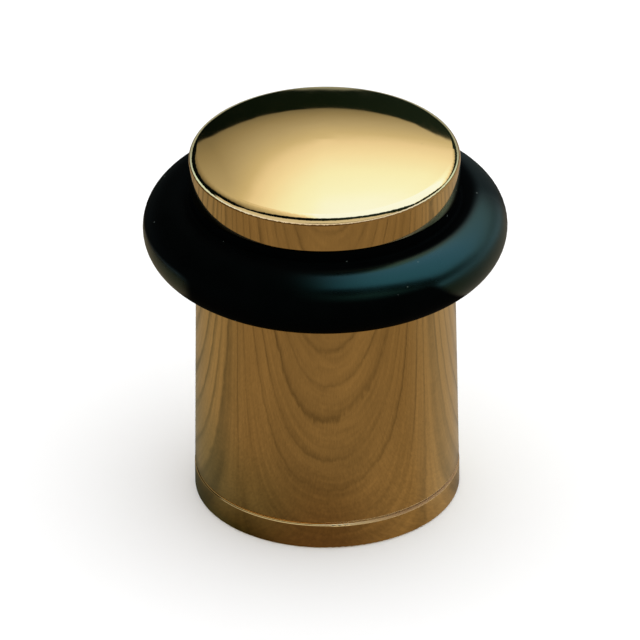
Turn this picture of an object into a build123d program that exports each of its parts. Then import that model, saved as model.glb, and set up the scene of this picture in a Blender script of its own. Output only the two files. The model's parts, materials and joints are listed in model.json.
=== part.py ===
"""Floor door stop: a polished brass pillar with a black rubber buffer ring round its head.

Four turned or moulded pieces screw together on one vertical axis. The foot is fixed to the floor
by one countersunk screw, the body screws down over the foot's boss, and the domed cap screws into
the body's neck and holds the buffer ring in place. Millimetres, +Z up, origin at the centre of the
foot's underside.
"""

import os

from build123d import *

# Foot: the disc that is fixed to the floor
foot_diameter = 38.0
foot_height = 4.0
boss_diameter = 28.0
boss_height = 8.0
screw_hole_diameter = 5.5
screw_head_diameter = 10.5
countersink_angle = 90.0

# Body: the tapered pillar between the foot and the ring
body_foot_diameter = 37.9
body_shoulder_diameter = 36.9
body_height = 31.9
neck_diameter = 30.0
socket_ledge = 1.5
crown_thickness = 5.0

# Buffer ring: a round bead on a web between two collars
ring_diameter = 51.8
ring_height = 12.9
bead_diameter = 9.6
web_height = 8.4
collar_inset = 0.1
valley_radius = 0.4

# Cap: the domed head
cap_diameter = 38.5
cap_band_height = 5.5
dome_rise = 2.0
spigot_diameter = 12.0
spigot_length = 9.0

# Edges and fits
seam_radius = 0.35
cap_edge_radius = 1.4
lead_in = 0.6
thread_clearance = 0.1
thread_runout = 1.0
ring_clearance = 0.05

# Heights of the faces where the pieces meet, up from the floor
foot_top = foot_height
shoulder_top = foot_top + body_height
ring_top = shoulder_top + ring_height

os.makedirs("parts", exist_ok=True)


# Foot: a disc with a threaded boss, drilled and countersunk for the floor screw
with BuildPart() as foot:
    with BuildSketch():
        Circle(foot_diameter / 2)
    extrude(amount=foot_height)
    fillet(foot.edges().filter_by(GeomType.CIRCLE), seam_radius)
    with BuildSketch(Plane.XY.offset(foot_top)):
        Circle(boss_diameter / 2)
    extrude(amount=boss_height)
    chamfer(foot.edges().group_by(Axis.Z)[-1], lead_in)
    with Locations((0, 0, foot_top + boss_height)):
        CounterSinkHole(
            radius=screw_hole_diameter / 2,
            counter_sink_radius=screw_head_diameter / 2,
            counter_sink_angle=countersink_angle,
        )
foot.part.label = "foot"
export_step(foot.part, "parts/foot.step")


# Body: a tapered pillar and its neck, bored and threaded from both ends
socket_radius = boss_diameter / 2 + thread_clearance
socket_depth = boss_height + thread_runout
bore_radius = boss_diameter / 2 - socket_ledge
bore_depth = body_height - crown_thickness
with BuildPart() as body:
    with BuildSketch(Plane.XZ):
        with BuildLine():
            Polyline(
                (0, foot_top),
                (body_foot_diameter / 2, foot_top),
                (body_shoulder_diameter / 2, shoulder_top),
                (neck_diameter / 2, shoulder_top),
                (neck_diameter / 2, ring_top),
                (0, ring_top),
                close=True,
            )
        make_face()
    revolve(axis=Axis.Z)
    fillet(body.edges().sort_by(SortBy.LENGTH)[-2:], seam_radius)
    with BuildSketch(Plane.XY.offset(foot_top)):
        Circle(socket_radius)
    extrude(amount=socket_depth, mode=Mode.SUBTRACT)
    with BuildSketch(Plane.XY.offset(foot_top)):
        Circle(bore_radius)
    extrude(amount=bore_depth, mode=Mode.SUBTRACT)
    with Locations((0, 0, ring_top)):
        Hole(spigot_diameter / 2 + thread_clearance, depth=spigot_length + thread_runout)
body.part.label = "body"
export_step(body.part, "parts/body.step")


# Buffer ring: one rubber moulding, its collars filling the groove between body and cap
ring_middle = (shoulder_top + ring_top) / 2
bead_centre_radius = (ring_diameter - bead_diameter) / 2
lower_collar_radius = body_shoulder_diameter / 2 - collar_inset
upper_collar_radius = cap_diameter / 2 - collar_inset
with BuildPart() as buffer_ring:
    with BuildSketch(Plane.XZ) as ring_section:
        with BuildLine():
            Polyline(
                (0, shoulder_top),
                (lower_collar_radius, shoulder_top),
                (lower_collar_radius, ring_middle),
                (upper_collar_radius, ring_middle),
                (upper_collar_radius, ring_top),
                (0, ring_top),
                close=True,
            )
        make_face()
        with Locations((bead_centre_radius, ring_middle)):
            Circle(bead_diameter / 2)
            Rectangle(bead_centre_radius, web_height, align=(Align.MAX, Align.CENTER))
        levels = ring_section.vertices().group_by(Axis.Y)
        lower_valley = levels[1].sort_by(Axis.X)[0]
        upper_valley = levels[-2].sort_by(Axis.X)[0]
        fillet([lower_valley, upper_valley], valley_radius)
    revolve(axis=Axis.Z)
    with Locations((0, 0, ring_top)):
        Hole(neck_diameter / 2 + ring_clearance)
buffer_ring.part.label = "buffer_ring"
export_step(buffer_ring.part, "parts/buffer_ring.step")


# Cap: a domed disc with a rounded rim, and the threaded spigot under it
rim_height = ring_top + cap_band_height
with BuildPart() as cap:
    with BuildSketch(Plane.XZ):
        with BuildLine():
            Line((0, ring_top), (cap_diameter / 2, ring_top))
            Line((cap_diameter / 2, ring_top), (cap_diameter / 2, rim_height))
            dome_sphere = ((cap_diameter / 2) ** 2 + dome_rise**2) / (2 * dome_rise)
            RadiusArc((cap_diameter / 2, rim_height), (0, rim_height + dome_rise), -dome_sphere)
            Line((0, rim_height + dome_rise), (0, ring_top))
        make_face()
    revolve(axis=Axis.Z)
    under_rim, dome_rim = cap.edges().sort_by(SortBy.LENGTH)[-2:].sort_by(Axis.Z)
    fillet(dome_rim, cap_edge_radius)
    fillet(under_rim, seam_radius)
    with BuildSketch(Plane.XY.offset(ring_top)):
        Circle(spigot_diameter / 2)
    extrude(amount=-spigot_length)
    chamfer(cap.edges().group_by(Axis.Z)[0], lead_in)
cap.part.label = "cap"
export_step(cap.part, "parts/cap.step")
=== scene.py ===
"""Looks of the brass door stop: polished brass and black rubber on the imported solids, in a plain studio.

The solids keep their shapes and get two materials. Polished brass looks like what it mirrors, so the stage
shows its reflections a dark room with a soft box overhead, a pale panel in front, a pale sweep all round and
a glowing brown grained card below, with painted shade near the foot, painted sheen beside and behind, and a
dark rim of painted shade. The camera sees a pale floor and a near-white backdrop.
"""

import json
import math

import bpy
from mathutils import Matrix, Vector


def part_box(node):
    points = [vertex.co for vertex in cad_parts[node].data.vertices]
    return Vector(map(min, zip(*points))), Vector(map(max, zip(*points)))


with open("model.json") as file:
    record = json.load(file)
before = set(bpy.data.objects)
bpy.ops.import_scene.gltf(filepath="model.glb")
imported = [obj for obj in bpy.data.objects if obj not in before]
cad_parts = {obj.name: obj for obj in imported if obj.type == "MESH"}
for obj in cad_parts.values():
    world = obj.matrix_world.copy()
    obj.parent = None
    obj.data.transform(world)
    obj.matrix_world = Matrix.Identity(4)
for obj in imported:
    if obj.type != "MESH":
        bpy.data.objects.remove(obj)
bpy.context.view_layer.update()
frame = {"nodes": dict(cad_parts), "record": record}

# Places on the object that the looks refer to, in metres
seam_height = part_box("body")[0][2]
foot_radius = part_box("foot")[1][0]
ring_low, ring_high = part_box("buffer_ring")
ring_radius = ring_high[0]
ring_middle = (ring_low[2] + ring_high[2]) / 2

# Below, two numbers are where a fade starts and ends, and four add what it fades between, unless a heading
# says otherwise

# Camera, in metres and degrees, and its sensor in millimetres
CAMERA_ELEVATION = 30.55
CAMERA_DISTANCE = 1.6
CAMERA_ROLL = 0.5
CLIP_RATIO = 100
FIELD_WIDTH = 0.0913
SENSOR_WIDTH = 36.0
AIM = Vector((-0.00085, 0.0, 0.0266))

# Floor, backdrop and lamp, in metres and degrees
FLOOR_SIZE = 8.0
FLOOR_GREY = 0.93
BACKDROP_GREY = 0.95
LAMP_STRENGTH = 4.2
LAMP_SPREAD = 150.0
LAMP_TILT_X = -12.0
LAMP_TILT_Y = 14.0

# Brass: roughness by a noise, and dirt by distance from the seam and from left to right, in metres
BRASS_TONES = (0.86, 0.60, 0.26), (0.90, 0.64, 0.29)
BRASS_ROUGHNESS = 0.3, 0.8, 0.03, 0.06
WAVE_HEIGHT = 0.00001
PIT_COLOUR = (0.30, 0.19, 0.07)
DIRT_COLOUR = (0.27, 0.15, 0.05)
DIRT_ROUGHNESS = 0.8
DIRT_FROM_SEAM = 0.00025, 0.00045
DIRT_RIGHTWARD = -0.002, 0.012

# Rubber: specular level and roughness by how rubbed it is, from 0 to 1
RUBBER_TONES = (0.0004, 0.0005, 0.0005), (0.001, 0.0013, 0.0013)
DUST_COLOUR = (0.06, 0.07, 0.065)
GLEAM_TINT = (0.32, 1.0, 0.72, 1.0)
RUBBED_LEVEL = 0.0, 1.0, 0.005, 0.52
RUBBED_ROUGHNESS = 0.0, 0.5, 0.45, 0.22
MOTTLE_ROUGHNESS = 0.08

# Rubbed patch on the right: x, y, in from the ring's rim and up from its middle, in metres. At the far right
# it reaches lower and is rougher.
RIGHT_RUB_X = -0.009, 0.012
RIGHT_RUB_Y = -0.007, 0.003, 1.0, 0.25
RIGHT_RUB_INSET = 0.0034, 0.0054
RIGHT_RUB_UP = 0.00145, 0.00345
FAR_RIGHT_X = 0.014, 0.022
FAR_RIGHT_DROP = 0.006
FAR_RIGHT_ROUGHNESS = 0.12

# Rubbed patch on the left: x, and up from the ring's middle to its lower and upper edges, in metres
LEFT_RUB_X = -0.0215, -0.0185
LEFT_RUB_LOW = -0.00385, -0.00085
LEFT_RUB_HIGH = 0.00015, 0.00165

# Grained card and the painted shade round its edge, in metres
CARD_CENTRE = 0.13
CARD_LENGTH = 0.50
CARD_WIDTH = 0.38
CARD_POINTS = 96
CARD_LIFT = 0.0001
CARD_BROWN = (0.228, 0.165, 0.094)
EDGE_SCALE = 1.7
EDGE_SHADE_BROWN = (0.10, 0.065, 0.024)

# Growth lines on the card, in metres and degrees: how far they bend, their shade through one pitch, and
# their strength by a noise, by distance from the foot and beside the object
GRAIN_TURN = -5.0
GRAIN_PITCH = 0.011
LINE_SWAY = 0.018
LINE_RAGGED = 0.0036
LINE_SPREAD = 0.022
THIN_LINE = {0.0: 0.48, 0.08: 1.02, 0.40: 1.04, 0.80: 1.00, 0.92: 0.78, 1.0: 0.48}
BROAD_LINE = {0.0: 0.46, 0.14: 1.04, 0.40: 1.08, 0.70: 1.00, 0.86: 0.70, 1.0: 0.46}
LINE_STRENGTH = 0.3, 0.7, 0.4, 1.0
LINE_FROM_FOOT = 0.016, 0.061, 0.6, 1.0
LINE_GAIN_BESIDE = 0.8

# Fine marks on the card: the part of a noise that shows, and how much each mark lightens and darkens
MARK_SPAN = 0.25, 0.75
STREAK_STRENGTH = 0.13
FIBRE_STRENGTH = 0.06
FLECK_STRENGTH = 0.14
CLOUD_STRENGTH = 0.10

# Painted light on the card: painted shade, as of the object's shadow, by distance from the foot, in metres
LEFT_SHADE = {
    0.000: (0.10, 0.13, 0.09),
    0.002: (0.26, 0.28, 0.22),
    0.008: (0.50, 0.56, 0.56),
    0.015: (0.66, 0.70, 0.70),
    0.025: (0.92, 0.92, 0.92),
    0.041: (1.0, 1.0, 1.0),
}
FRONT_SHADE = {
    0.000: (0.41, 0.335, 0.29),
    0.005: (0.53, 0.46, 0.41),
    0.015: (0.68, 0.65, 0.61),
    0.025: (0.92, 0.92, 0.92),
    0.041: (1.0, 1.0, 1.0),
}
UNSHADED = (1.0, 1.0, 1.0)

# Where that light changes: rightward and rearward run from -1 to 1, and the rest is in metres. Rearward is
# judged from two places in the foot, one on each side and both towards the front.
PIVOT_SIDE = 0.010
PIVOT_FRONT = 0.0125
LEFT_TO_FRONT = -0.75, -0.10
FRONT_TO_RIGHT = 0.0, 0.8
LIFT_REARWARD = 0.4, 0.9, 0.0, 0.3
LIFT_FROM_FOOT = 0.0015, 0.0055
BESIDE_REARWARD = -0.3, 0.4
BESIDE_FROM_AXIS = 0.008, 0.022

# Painted sheen that is added to the card beside and behind the object
LEFT_SHEEN = (0.060, 0.070, 0.060)
RIGHT_SHEEN = (0.150, 0.155, 0.155)
SHEEN_RIGHTWARD = -0.5, 0.5
SHEEN_REARWARD = -0.45, 0.85
SHEEN_FROM_FOOT = 0.0015, 0.0050, 0.5, 1.0

# Soft box, in degrees: fullness to each side, colours from empty to full, lower edges as slope and start
BOX_FULLNESS = {
    -57.0: 0.0,
    -50.0: 0.1,
    -28.0: 0.24,
    -10.0: 0.37,
    -5.0: 0.72,
    0.0: 1.0,
    10.0: 1.12,
    62.0: 1.2,
    67.0: 0.0,
}
BOX_COLOURS = {
    0.00: (0.0, 0.0, 0.0),
    0.33: (0.31, 0.29, 0.22),
    0.55: (0.49, 0.48, 0.41),
    0.77: (0.67, 0.66, 0.56),
    0.93: (0.90, 0.90, 0.87),
    1.15: (1.01, 1.08, 1.10),
    1.50: (1.06, 1.31, 1.50),
    1.80: (1.07, 1.39, 1.75),
    2.20: (1.08, 1.47, 2.40),
}
BOX_GAIN = 0.055
BOX_START = -0.77
BOX_LIMIT = 2.6
BOX_END = 111.0, 117.0
BOX_EDGE_CURVE = 0.066, 17.6
BOX_EDGE_RIGHT = -0.303, 28.2
BOX_EDGE_LEFT = 0.103, 26.1
BOX_EDGE_BLUR = -0.3, 0.3

# Room, front panel and sweep, in degrees or by how far a direction points back, from -1 to 1
ROOM_COLOURS = {-12.0: (0.002, 0.004, 0.004), 0.0: (0.005, 0.011, 0.007), 12.0: (0.012, 0.024, 0.021)}
PANEL_COLOUR = (0.70, 0.74, 0.78)
PANEL_TOP = {
    -72.0: 12.0,
    -63.0: 20.0,
    -45.0: 26.0,
    -21.0: 34.0,
    0.0: 37.0,
    22.0: 38.0,
    45.0: 24.0,
    61.0: 8.0,
    80.0: 2.0,
}
PANEL_LOW = -35.0, -5.0, -2.0, 7.0
PANEL_FRONT = 0.05, 0.20
PANEL_LOW_BLUR = -1.0, 1.0
PANEL_TOP_BLUR = -1.5, 1.5
SWEEP_COLOURS = {
    -0.9: (0.85, 0.90, 1.15),
    -0.2: (0.9, 1.1, 1.6),
    0.6: (0.75, 1.12, 1.4),
    0.9: (0.40, 0.48, 0.48),
}
SKYLINE_SLOPE = 0.06
SKYLINE_RISE = 0.75, 0.95, 2.0, 8.9
SKYLINE_BLUR = -0.8, 0.5


class Graph:
    """A node tree with short calls for the nodes that the materials and the world share."""

    def __init__(self, tree):
        self.tree = tree

    def add(self, kind, **settings):
        made = self.tree.nodes.new(kind)
        for name, value in settings.items():
            setattr(made, name, value)
        return made

    def plug(self, value, socket):
        """Links an output socket, or sets a plain value."""
        if isinstance(value, bpy.types.NodeSocket):
            self.tree.links.new(value, socket)
        else:
            socket.default_value = value

    def maths(self, operation, *values):
        made = self.add("ShaderNodeMath", operation=operation)
        for value, socket in zip(values, made.inputs):
            self.plug(value, socket)
        return made.outputs[0]

    def times(self, *values):
        product = values[0]
        for value in values[1:]:
            product = self.maths("MULTIPLY", product, value)
        return product

    def minus(self, value, less):
        return self.maths("SUBTRACT", value, less)

    def line(self, value, slope, start):
        """Value times slope, plus start."""
        return self.maths("MULTIPLY_ADD", value, slope, start)

    def fade(self, value, low, high, to_low=0.0, to_high=1.0):
        """A smooth step of value, from to_low at low to to_high at high."""
        made = self.add("ShaderNodeMapRange", interpolation_type="SMOOTHSTEP")
        for socket, item in zip(made.inputs[:5], (value, low, high, to_low, to_high)):
            self.plug(item, socket)
        return made.outputs[0]

    def ramp(self, value, stops):
        """A colour ramp through stops {value: (r, g, b)} or {value: grey}."""
        low, high = min(stops), max(stops)
        span = self.add("ShaderNodeMapRange")
        for socket, item in zip(span.inputs[:3], (value, low, high)):
            self.plug(item, socket)
        made = self.add("ShaderNodeValToRGB")
        self.plug(span.outputs[0], made.inputs[0])
        elements = made.color_ramp.elements
        while len(elements) < len(stops):
            elements.new(1.0)
        for element, (place, colour) in zip(elements, sorted(stops.items())):
            element.position = (place - low) / (high - low)
            element.color = (*colour, 1.0) if isinstance(colour, tuple) else (colour, colour, colour, 1.0)
        return made.outputs[0]

    def split(self, vector):
        made = self.add("ShaderNodeSeparateXYZ")
        self.plug(vector, made.inputs[0])
        return made.outputs

    def join(self, x, y, z):
        made = self.add("ShaderNodeCombineXYZ")
        for value, socket in zip((x, y, z), made.inputs):
            self.plug(value, socket)
        return made.outputs[0]

    def length(self, vector):
        made = self.add("ShaderNodeVectorMath", operation="LENGTH")
        self.plug(vector, made.inputs[0])
        return made.outputs["Value"]

    def turned(self, vector, degrees):
        """The vector turned about Z."""
        made = self.add("ShaderNodeVectorRotate", rotation_type="Z_AXIS")
        self.plug(vector, made.inputs["Vector"])
        made.inputs["Angle"].default_value = math.radians(degrees)
        return made.outputs[0]

    def noise(self, place, cells, detail=2.0, roughness=0.5):
        """Soft noise from 0 to 1, with so many cells a metre along each axis."""
        scaled = self.add("ShaderNodeVectorMath", operation="MULTIPLY")
        self.plug(place, scaled.inputs[0])
        scaled.inputs[1].default_value = cells
        made = self.add("ShaderNodeTexNoise")
        self.plug(scaled.outputs[0], made.inputs["Vector"])
        made.inputs["Scale"].default_value = 1.0
        made.inputs["Detail"].default_value = detail
        made.inputs["Roughness"].default_value = roughness
        return made.outputs["Fac"]

    def specks(self, place, cells, size, share, core=0.6):
        """Small round dots, 1 in their core, in a share of the cells: cells a metre, and size in cells."""
        made = self.add("ShaderNodeTexVoronoi")
        self.plug(place, made.inputs["Vector"])
        made.inputs["Scale"].default_value = cells
        dot = self.fade(made.outputs["Distance"], size * core, size, 1.0, 0.0)
        chosen = self.maths("LESS_THAN", self.split(made.outputs["Color"])[0], share)
        return self.times(dot, chosen)

    def mix(self, factor, first, second, blend="MIX"):
        """Mixes two colours, each a socket or (r, g, b)."""
        made = self.add("ShaderNodeMix", data_type="RGBA", blend_type=blend)
        self.plug(factor, made.inputs[0])
        self.plug(first if isinstance(first, bpy.types.NodeSocket) else (*first, 1.0), made.inputs[6])
        self.plug(second if isinstance(second, bpy.types.NodeSocket) else (*second, 1.0), made.inputs[7])
        return made.outputs[2]

    def shaded(self, colour, shade):
        """The colour multiplied by a shade."""
        return self.mix(1.0, colour, shade, "MULTIPLY")

    def lit(self, colour, light):
        """The colour with light added."""
        return self.mix(1.0, colour, light, "ADD")

    def bump(self, height, distance):
        made = self.add("ShaderNodeBump")
        self.plug(height, made.inputs["Height"])
        made.inputs["Distance"].default_value = distance
        return made.outputs[0]


def material(name):
    """A new material, its graph and its Principled shader."""
    made = bpy.data.materials.new(name)
    made.use_nodes = True
    graph = Graph(made.node_tree)
    return made, graph, made.node_tree.nodes["Principled BSDF"]


def polished_brass():
    """Polished brass with small pits, shallow waves and, in the right half of the lower seam, dull dirt."""
    made, graph, shader = material("polished_brass")
    place = graph.add("ShaderNodeTexCoord").outputs["Object"]
    x, _, z = graph.split(place)
    from_seam = graph.maths("ABSOLUTE", graph.minus(z, seam_height))
    dirt = graph.times(graph.fade(from_seam, *DIRT_FROM_SEAM, 1.0, 0.0), graph.fade(x, *DIRT_RIGHTWARD))

    tone = graph.noise(place, cells=(60.0, 60.0, 60.0), detail=3.0)
    pits = graph.specks(place, cells=300.0, size=0.035, share=0.2)
    colour = graph.mix(pits, graph.mix(tone, *BRASS_TONES), PIT_COLOUR)
    graph.plug(graph.mix(dirt, colour, DIRT_COLOUR), shader.inputs["Base Color"])
    graph.plug(graph.minus(1.0, dirt), shader.inputs["Metallic"])

    wipe = graph.noise(place, cells=(300.0, 300.0, 1800.0), detail=4.0)
    roughness = graph.fade(wipe, *BRASS_ROUGHNESS)
    graph.plug(graph.line(dirt, DIRT_ROUGHNESS, roughness), shader.inputs["Roughness"])
    waves = graph.noise(place, cells=(160.0, 160.0, 160.0))
    graph.plug(graph.bump(waves, WAVE_HEIGHT), shader.inputs["Normal"])
    return made


def black_rubber():
    """Dull black rubber with a little dust, rubbed glossy high on the right and on the far left."""
    made, graph, shader = material("black_rubber")
    place = graph.add("ShaderNodeTexCoord").outputs["Object"]
    x, y, z = graph.split(place)
    inset = graph.minus(ring_radius, graph.length(graph.join(x, y, 0.0)))
    up = graph.minus(z, ring_middle)
    far_right = graph.fade(x, *FAR_RIGHT_X)
    right = graph.times(
        graph.fade(x, *RIGHT_RUB_X),
        graph.fade(y, *RIGHT_RUB_Y),
        graph.fade(inset, *RIGHT_RUB_INSET, 1.0, 0.0),
        graph.fade(graph.line(far_right, FAR_RIGHT_DROP, up), *RIGHT_RUB_UP),
    )
    left = graph.times(
        graph.fade(x, *LEFT_RUB_X, 1.0, 0.0),
        graph.fade(up, *LEFT_RUB_LOW),
        graph.fade(up, *LEFT_RUB_HIGH, 1.0, 0.0),
    )
    rubbed = graph.maths("MAXIMUM", right, left)

    mottle = graph.noise(place, cells=(250.0, 250.0, 250.0), detail=3.0)
    dust = graph.specks(place, cells=700.0, size=0.12, share=0.12)
    colour = graph.mix(dust, graph.mix(mottle, *RUBBER_TONES), DUST_COLOUR)
    graph.plug(colour, shader.inputs["Base Color"])
    shader.inputs["Specular Tint"].default_value = GLEAM_TINT
    graph.plug(graph.fade(rubbed, *RUBBED_LEVEL), shader.inputs["Specular IOR Level"])
    roughness = graph.fade(rubbed, *RUBBED_ROUGHNESS)
    roughness = graph.line(far_right, FAR_RIGHT_ROUGHNESS, roughness)
    graph.plug(graph.line(mottle, MOTTLE_ROUGHNESS, roughness), shader.inputs["Roughness"])
    return made


def dress_nodes():
    """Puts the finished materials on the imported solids."""
    finishes = {"polished_brass": polished_brass(), "black_rubber": black_rubber()}
    for part in frame["record"]["subparts"]:
        solid = frame["nodes"][part["node"]]
        solid.data.materials.clear()
        solid.data.materials.append(finishes[part["material_slot"]])


def sheet(name, corners, height):
    """A level sheet of the stage with the given corners."""
    mesh = bpy.data.meshes.new(name)
    mesh.from_pydata([(x, y, height) for x, y in corners], [], [range(len(corners))])
    made = bpy.data.objects.new(name, mesh)
    bpy.context.scene.collection.objects.link(made)
    return made


def pale_floor():
    """A plain matt floor that reflections leave out."""
    half = FLOOR_SIZE / 2
    floor = sheet("floor", [(-half, -half), (half, -half), (half, half), (-half, half)], 0.0)
    made, _, shader = material("floor")
    shader.inputs["Base Color"].default_value = (FLOOR_GREY, FLOOR_GREY, FLOOR_GREY, 1.0)
    shader.inputs["Roughness"].default_value = 1.0
    shader.inputs["Specular IOR Level"].default_value = 0.0
    floor.data.materials.append(made)
    floor.visible_glossy = False


def glow_sheet(name, corners, height):
    """A glowing sheet that only reflections see: its graph, and the socket for the glow's colour."""
    piece = sheet(name, corners, height)
    piece.visible_camera = False
    piece.visible_diffuse = False
    piece.visible_transmission = False
    piece.visible_shadow = False
    made = bpy.data.materials.new(name)
    made.use_nodes = True
    made.node_tree.nodes.clear()
    piece.data.materials.append(made)
    graph = Graph(made.node_tree)
    glow = graph.add("ShaderNodeEmission")
    out = graph.add("ShaderNodeOutputMaterial")
    graph.plug(glow.outputs[0], out.inputs["Surface"])
    return graph, glow.inputs["Color"]


def card_outline(scale):
    """The oval outline of the grained card, long to the right, scaled about the object's axis."""
    turns = [2 * math.pi * step / CARD_POINTS for step in range(CARD_POINTS)]
    return [
        (scale * (CARD_CENTRE + CARD_LENGTH / 2 * math.cos(turn)), scale * CARD_WIDTH / 2 * math.sin(turn))
        for turn in turns
    ]


def growth_lines(graph, place, from_foot, beside):
    """The shade of long, uneven growth lines, broad beside the object and fainter near its foot."""
    sway = graph.noise(place, cells=(8.0, 14.0, 0.0), detail=1.0)
    ragged = graph.noise(place, cells=(220.0, 90.0, 0.0), detail=4.0, roughness=0.65)
    spread = graph.noise(place, cells=(0.0, 55.0, 0.0), detail=1.0)
    row = graph.split(place)[1]
    for bend, shift in ((sway, LINE_SWAY), (ragged, LINE_RAGGED), (spread, LINE_SPREAD)):
        row = graph.line(bend, shift, row)
    growth = graph.maths("FRACT", graph.times(row, 1.0 / GRAIN_PITCH))
    shade = graph.mix(beside, graph.ramp(growth, THIN_LINE), graph.ramp(growth, BROAD_LINE))
    patchy = graph.noise(place, cells=(14.0, 120.0, 0.0), detail=1.0)
    weight = graph.times(
        graph.fade(patchy, *LINE_STRENGTH),
        graph.fade(from_foot, *LINE_FROM_FOOT),
        graph.line(beside, LINE_GAIN_BESIDE, 1.0),
    )
    return graph.mix(graph.maths("MINIMUM", weight, 1.0), UNSHADED, shade)


def grained_colour(graph, place, from_foot, beside):
    """Brown with growth lines on fine streaks, fibres, flecks and clouds."""
    place = graph.turned(place, GRAIN_TURN)
    streak = graph.noise(place, cells=(30.0, 600.0, 0.0), detail=3.0, roughness=0.6)
    fibre = graph.noise(place, cells=(900.0, 260.0, 0.0))
    fleck = graph.noise(place, cells=(1500.0, 900.0, 0.0), detail=3.0, roughness=0.7)
    cloud = graph.noise(place, cells=(12.0, 30.0, 0.0))
    marks = (
        (streak, STREAK_STRENGTH),
        (fibre, FIBRE_STRENGTH),
        (fleck, FLECK_STRENGTH),
        (cloud, CLOUD_STRENGTH),
    )
    tones = [graph.fade(mark, *MARK_SPAN, 1.0 - strength, 1.0 + strength) for mark, strength in marks]
    brown = graph.shaded(CARD_BROWN, graph.times(*tones))
    return graph.shaded(brown, growth_lines(graph, place, from_foot, beside))


def grain_card():
    """Glowing brown grained card with painted shade near the object's foot, painted sheen beside and behind.
    """
    graph, glow_colour = glow_sheet("grain_card", card_outline(1.0), CARD_LIFT)
    place = graph.add("ShaderNodeTexCoord").outputs["Object"]
    x, y, _ = graph.split(place)
    reach = graph.length(place)
    from_foot = graph.minus(reach, foot_radius)
    rightward = graph.maths("DIVIDE", x, reach)
    off_axis = graph.maths("ABSOLUTE", x)
    outward = graph.minus(off_axis, PIVOT_SIDE)
    back = graph.maths("ADD", y, PIVOT_FRONT)
    rearward = graph.maths("DIVIDE", back, graph.length(graph.join(outward, back, 0.0)))

    # Painted shadow near the foot, darker on the left than in front
    left_shade = graph.ramp(from_foot, LEFT_SHADE)
    front_shade = graph.ramp(from_foot, FRONT_SHADE)
    shade = graph.mix(graph.fade(rightward, *LEFT_TO_FRONT), left_shade, front_shade)
    # Painted shade eased beside and behind, away from the foot, and taken off towards the right
    lift = graph.times(graph.fade(rearward, *LIFT_REARWARD), graph.fade(from_foot, *LIFT_FROM_FOOT))
    shade = graph.mix(lift, shade, UNSHADED)
    shade = graph.mix(graph.fade(rightward, *FRONT_TO_RIGHT), shade, UNSHADED)
    beside = graph.times(graph.fade(rearward, *BESIDE_REARWARD), graph.fade(off_axis, *BESIDE_FROM_AXIS))
    colour = graph.shaded(grained_colour(graph, place, from_foot, beside), shade)

    # Painted sheen, added to the card beside and behind the object
    sheen = graph.mix(graph.fade(rightward, *SHEEN_RIGHTWARD), LEFT_SHEEN, RIGHT_SHEEN)
    rear = graph.times(graph.fade(rearward, *SHEEN_REARWARD), graph.fade(from_foot, *SHEEN_FROM_FOOT))
    graph.plug(graph.mix(rear, colour, graph.lit(colour, sheen)), glow_colour)


def card_edge_shade():
    """A dark glowing sheet under and round the grained card: painted shade round the card's rim."""
    graph, glow_colour = glow_sheet("card_edge_shade", card_outline(EDGE_SCALE), CARD_LIFT / 2)
    # Painted shade round the grained card, seen only in reflections
    graph.plug((*EDGE_SHADE_BROWN, 1.0), glow_colour)


def soft_box(graph, over, aside, height):
    """Light of a large soft box from low behind, over the top, to high in front, brightest on the right."""
    depth = graph.maths("MINIMUM", graph.line(over, BOX_GAIN, BOX_START), BOX_LIMIT)
    colour = graph.ramp(graph.times(depth, graph.ramp(aside, BOX_FULLNESS)), BOX_COLOURS)
    lower_edge = graph.line(graph.times(aside, aside), *BOX_EDGE_CURVE)
    lower_edge = graph.maths("MINIMUM", lower_edge, graph.line(aside, *BOX_EDGE_RIGHT))
    lower_edge = graph.maths("MINIMUM", lower_edge, graph.line(aside, *BOX_EDGE_LEFT))
    inside = graph.times(
        graph.fade(graph.minus(height, lower_edge), *BOX_EDGE_BLUR),
        graph.fade(over, *BOX_END, 1.0, 0.0),
    )
    return graph.shaded(colour, inside)


def front_panel(graph, aside, height, back):
    """Where the pale panel stands in front, 1 inside, between a rising lower edge and an arched top."""
    above = graph.minus(height, graph.fade(aside, *PANEL_LOW))
    over_top = graph.minus(height, graph.ramp(aside, PANEL_TOP))
    return graph.times(
        graph.fade(back, *PANEL_FRONT, 1.0, 0.0),
        graph.fade(above, *PANEL_LOW_BLUR),
        graph.fade(over_top, *PANEL_TOP_BLUR, 1.0, 0.0),
    )


def low_sweep(graph, aside, height, back):
    """Where the pale sweep lies, 1 inside, under a skyline that is higher behind the object."""
    skyline = graph.line(aside, SKYLINE_SLOPE, graph.fade(back, *SKYLINE_RISE))
    return graph.fade(graph.minus(height, skyline), *SKYLINE_BLUR, 1.0, 0.0)


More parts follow.
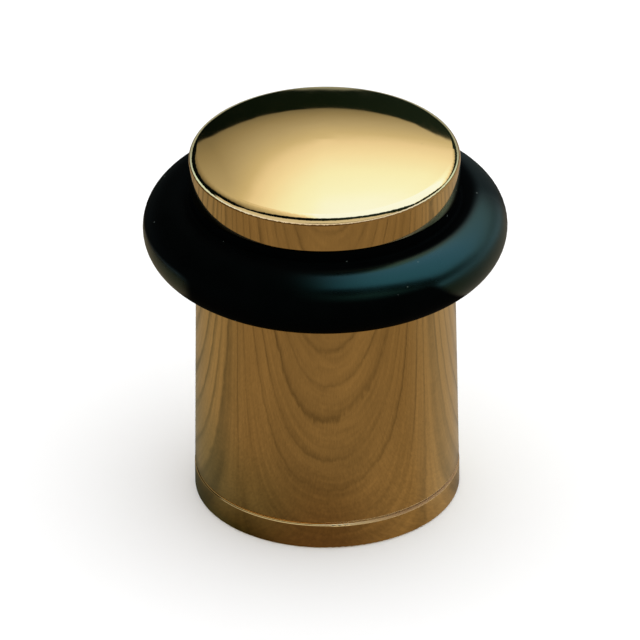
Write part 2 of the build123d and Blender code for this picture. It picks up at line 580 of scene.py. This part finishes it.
def studio_world():
    """Near white to the camera; to reflections, a dark room with the soft box, the panel and the sweep."""
    world = bpy.data.worlds.new("studio")
    bpy.context.scene.world = world
    world.use_nodes = True
    world.cycles_visibility.diffuse = False
    world.node_tree.nodes.clear()
    graph = Graph(world.node_tree)
    right, back, up = graph.split(graph.add("ShaderNodeTexCoord").outputs["Generated"])
    # Degrees: over, up from the horizon behind and on to the front; aside, to the right; height, up
    degrees = 180 / math.pi
    over = graph.times(graph.maths("ARCTAN2", up, back), degrees)
    aside = graph.times(graph.maths("ARCSINE", right), degrees)
    height = graph.times(graph.maths("ARCSINE", up), degrees)

    light = graph.lit(graph.ramp(aside, ROOM_COLOURS), soft_box(graph, over, aside, height))
    light = graph.mix(front_panel(graph, aside, height, back), light, PANEL_COLOUR)
    light = graph.mix(low_sweep(graph, aside, height, back), light, graph.ramp(back, SWEEP_COLOURS))

    glow = graph.add("ShaderNodeBackground")
    graph.plug(light, glow.inputs["Color"])
    white = graph.add("ShaderNodeBackground")
    white.inputs["Color"].default_value = (BACKDROP_GREY, BACKDROP_GREY, BACKDROP_GREY, 1.0)
    choose = graph.add("ShaderNodeMixShader")
    graph.plug(graph.add("ShaderNodeLightPath").outputs["Is Camera Ray"], choose.inputs[0])
    graph.plug(glow.outputs[0], choose.inputs[1])
    graph.plug(white.outputs[0], choose.inputs[2])
    out = graph.add("ShaderNodeOutputWorld")
    graph.plug(choose.outputs[0], out.inputs["Surface"])


def floor_lamp():
    """A very wide sun for the floor and its soft shadow, left out of reflections."""
    data = bpy.data.lights.new("floor_lamp", "SUN")
    data.energy = LAMP_STRENGTH
    data.angle = math.radians(LAMP_SPREAD)
    lamp = bpy.data.objects.new("floor_lamp", data)
    bpy.context.scene.collection.objects.link(lamp)
    lamp.rotation_euler = (math.radians(LAMP_TILT_X), math.radians(LAMP_TILT_Y), 0.0)
    lamp.visible_glossy = False


def photo_camera():
    """A distant camera at the photograph's angle, aimed at the middle of the object."""
    data = bpy.data.cameras.new("camera")
    data.sensor_width = SENSOR_WIDTH
    data.lens = SENSOR_WIDTH * CAMERA_DISTANCE / FIELD_WIDTH
    data.clip_start = CAMERA_DISTANCE / CLIP_RATIO
    data.clip_end = CAMERA_DISTANCE * CLIP_RATIO
    camera = bpy.data.objects.new("camera", data)
    bpy.context.scene.collection.objects.link(camera)
    angle = math.radians(CAMERA_ELEVATION)
    back = Vector((0.0, -math.cos(angle), math.sin(angle)))
    roll = Matrix.Rotation(math.radians(-CAMERA_ROLL), 3, "Z")
    turn = (-back).to_track_quat("-Z", "Y").to_matrix() @ roll
    camera.matrix_world = Matrix.Translation(AIM + back * CAMERA_DISTANCE) @ turn.to_4x4()
    bpy.context.scene.camera = camera


dress_nodes()
pale_floor()
grain_card()
card_edge_shade()
studio_world()
floor_lamp()
photo_camera()
bpy.context.scene.view_settings.view_transform = "Standard"
